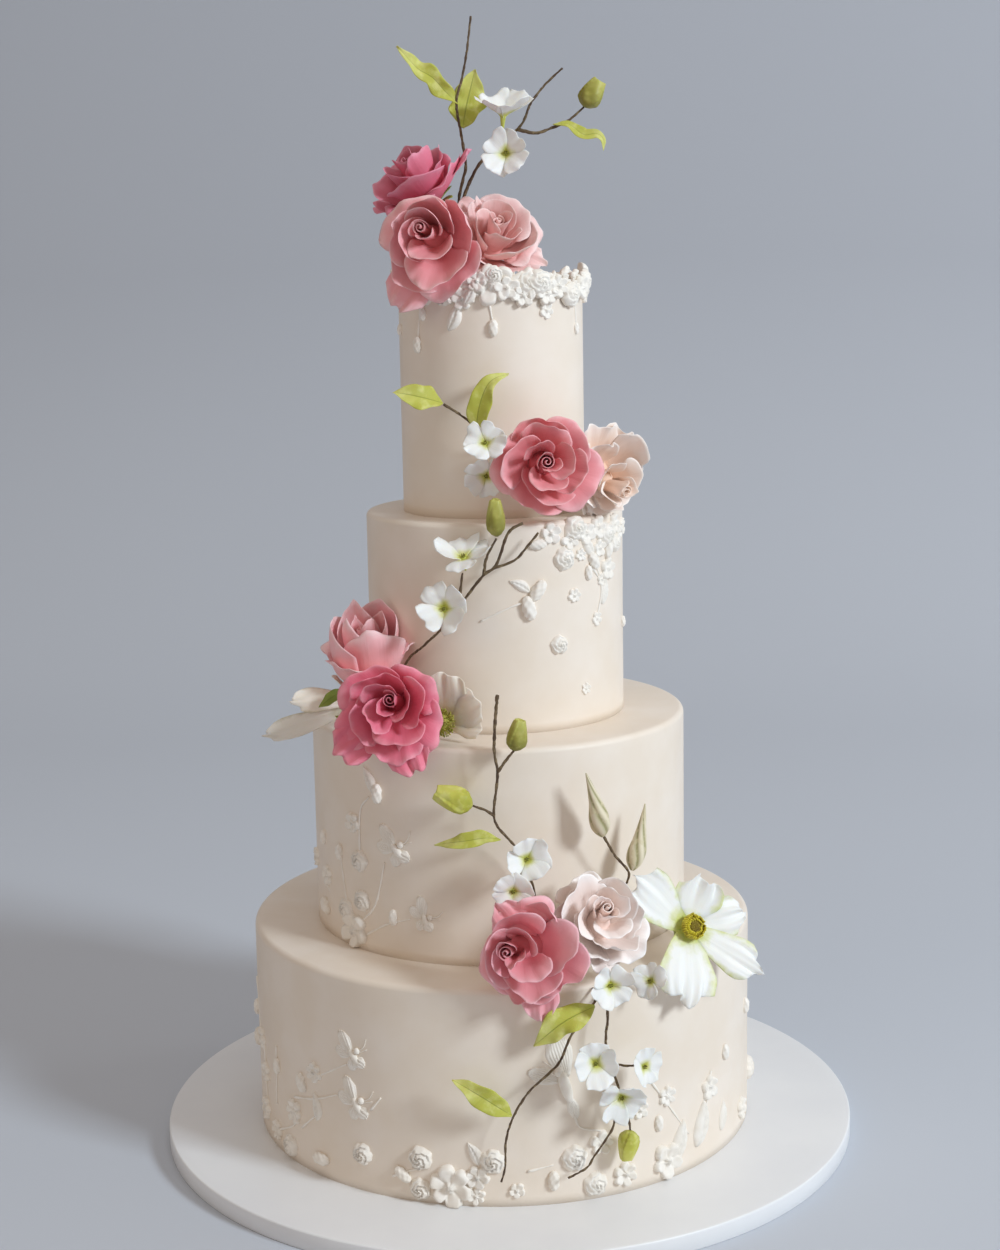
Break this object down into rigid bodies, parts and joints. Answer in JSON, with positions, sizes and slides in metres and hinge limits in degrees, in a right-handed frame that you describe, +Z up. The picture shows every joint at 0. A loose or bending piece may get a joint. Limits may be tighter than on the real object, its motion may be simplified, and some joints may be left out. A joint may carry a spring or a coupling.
{
  "type": "wedding cake",
  "caption": "Tall tiered round wedding cake on a flat board, with smooth ivory icing, low floral relief and wired sugar roses, blossoms, leaves and buds.",
  "frame": {"origin": "middle of the cake board's underside", "axes": "+Z up, +X to the right as seen from the front, the front with the hanging flowers faces -Y"},
  "size_m": [0.4564, 0.4572, 0.7221],
  "materials": {
    "icing": "smooth ivory sugar paste with a satin surface",
    "board_white": "white covered board, lightly satin",
    "rose_dark": "raspberry pink sugar petals, matt",
    "rose_pink": "coral pink sugar petals, matt",
    "rose_light": "light pink sugar petals, matt",
    "rose_peach": "peach sugar petals, matt",
    "rose_blush": "blush white sugar petals, matt",
    "petal_white": "white sugar petals, matt",
    "petal_cream": "cream sugar petals, matt",
    "pollen_green": "yellow-green flower centre, granular",
    "leaf_green": "yellow-green sugar leaf, satin",
    "bud_green": "green sugar bud, satin",
    "bud_pale": "pale cream-green sugar bud, satin",
    "twig_brown": "brown paper tape wound on wire"
  },
  "bodies": {
    "root": {"blossom_hanging_left": "petal_white", "blossom_hanging_low": "petal_white", "blossom_hanging_right": "petal_white", "blossom_long_front": "petal_white", "blossom_long_side": "petal_white", "blossom_low_front": "petal_white", "blossom_low_side": "petal_white", "blossom_second_high": "petal_white", "blossom_second_low": "petal_white", "blossom_top_front": "petal_white", "blossom_top_side": "petal_white", "blossom_upper_low": "petal_white", "blossom_upper_top": "petal_white", "bud_low": "bud_green", "bud_second_high": "bud_green", "bud_second_low": "bud_green", "bud_top": "bud_green", "bud_upper": "bud_green", "cake_board": "board_white", "cream_flower": "petal_cream", "flower_centre": "pollen_green", "leaf_left_high": "bud_green", "leaf_left_low": "bud_green", "leaf_low_high": "leaf_green", "leaf_low_mid": "leaf_green", "leaf_second": "leaf_green", "leaf_top_broad": "leaf_green", "leaf_top_left": "leaf_green", "leaf_top_right": "leaf_green", "leaf_upper_left": "leaf_green", "leaf_upper_right": "leaf_green", "long_bud_left": "bud_pale", "long_bud_right": "bud_pale", "open_white_flower": "petal_white", "poppy": "petal_cream", "poppy_centre": "pollen_green", "rose_blush_low": "rose_blush", "rose_coral": "rose_pink", "rose_dark_top": "rose_dark", "rose_deep_left": "rose_pink", "rose_light_left": "rose_light", "rose_light_top": "rose_light", "rose_peach": "rose_peach", "rose_pink_low": "rose_pink", "rose_pink_top": "rose_pink", "tier_1": "icing", "tier_2": "icing", "tier_3": "icing", "tier_4": "icing", "twig_long": "twig_brown", "twig_long_buds": "twig_brown", "twig_low_left": "twig_brown", "twig_low_right": "twig_brown", "twig_second": "twig_brown", "twig_top": "twig_brown", "twig_upper_leaves": "twig_brown"}
  },
  "joints": []
}
